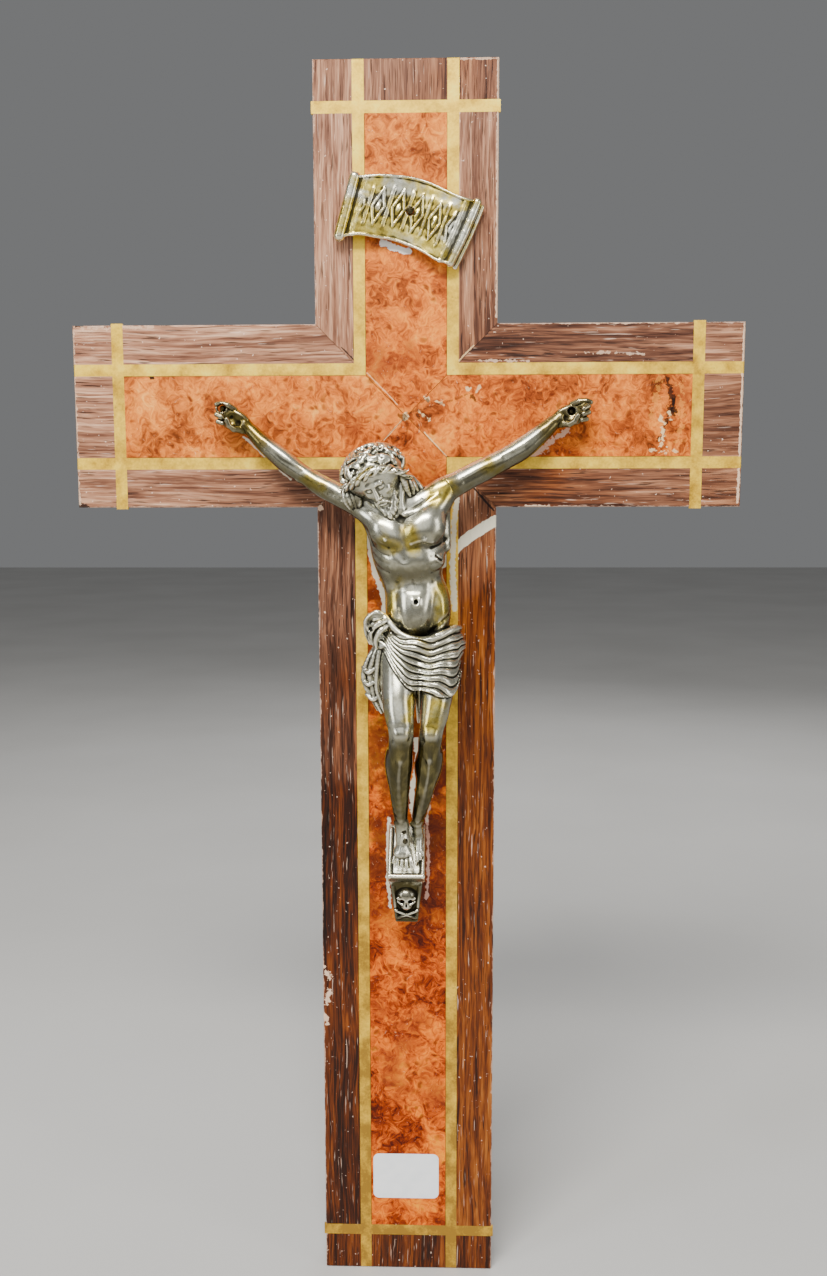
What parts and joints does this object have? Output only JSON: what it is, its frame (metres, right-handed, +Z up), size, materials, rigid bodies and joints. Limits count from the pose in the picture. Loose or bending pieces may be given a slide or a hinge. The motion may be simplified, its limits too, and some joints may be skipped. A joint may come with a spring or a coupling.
{
  "type": "altar crucifix",
  "caption": "Veneered wooden altar and wall crucifix with brass stringing, a cast bronze corpus on a foot block, a bronze scroll and a recessed swinging hanger.",
  "frame": {"origin": "middle of the bottom end face of the upright", "axes": "+X to the viewer's right across the crossbar, +Y towards the wall behind, +Z up the upright"},
  "size_m": [0.318, 0.0603, 0.6],
  "materials": {
    "core_wood": "oiled, aged pine",
    "rosewood": "worn french polish",
    "burl": "worn french polish",
    "brass_stringing": "dull, tarnished",
    "bronze": "dark patina rubbed bright on the high parts",
    "bronze_gilt": "worn gilding over a dark patina",
    "pin_bronze": "tarnished",
    "hanger_brass": "tarnished",
    "screw_steel": "dulled, a little rust in the slots",
    "label_paper": "matt"
  },
  "bodies": {
    "cross": {"upright_core": "core_wood", "crossbar_core": "core_wood", "burl_panel_top": "burl", "burl_panel_bottom": "burl", "burl_panel_left": "burl", "burl_panel_right": "burl", "border_top_a": "rosewood", "border_top_b": "rosewood", "border_bottom_a": "rosewood", "border_bottom_b": "rosewood", "border_left_a": "rosewood", "border_left_b": "rosewood", "border_right_a": "rosewood", "border_right_b": "rosewood", "end_tiles_top": "rosewood", "end_tiles_bottom": "rosewood", "end_tiles_left": "rosewood", "end_tiles_right": "rosewood", "string_top_a": "brass_stringing", "string_top_b": "brass_stringing", "string_bottom_a": "brass_stringing", "string_bottom_b": "brass_stringing", "string_left_a": "brass_stringing", "string_left_b": "brass_stringing", "string_right_a": "brass_stringing", "string_right_b": "brass_stringing", "cross_string_top": "brass_stringing", "cross_string_bottom": "brass_stringing", "cross_string_left": "brass_stringing", "cross_string_right": "brass_stringing", "string_stubs_top": "brass_stringing", "string_stubs_bottom": "brass_stringing", "string_stubs_left": "brass_stringing", "string_stubs_right": "brass_stringing", "edge_veneer_top_end": "rosewood", "edge_veneer_bottom_end": "rosewood", "edge_veneer_left_end": "rosewood", "edge_veneer_right_end": "rosewood", "edge_veneer_top_left": "rosewood", "edge_veneer_top_right": "rosewood", "edge_veneer_bottom_left": "rosewood", "edge_veneer_bottom_right": "rosewood", "corpus": "bronze", "corpus_left_arm": "bronze", "corpus_right_arm": "bronze", "foot_block": "bronze", "titulus": "bronze_gilt", "hand_pins": "pin_bronze", "foot_pins": "pin_bronze", "titulus_pin": "pin_bronze", "hanger_strap": "hanger_brass", "hanger_screws": "screw_steel", "stock_label": "label_paper"},
    "ring": {"hanger_ring": "hanger_brass"}
  },
  "joints": [
    {"name": "ring_swing", "type": "hinge", "parent": "cross", "child": "ring", "pos_m": [0, 0.00545, 0.545], "axis": [1, 0, 0], "range_deg": [0, 160]}
  ]
}
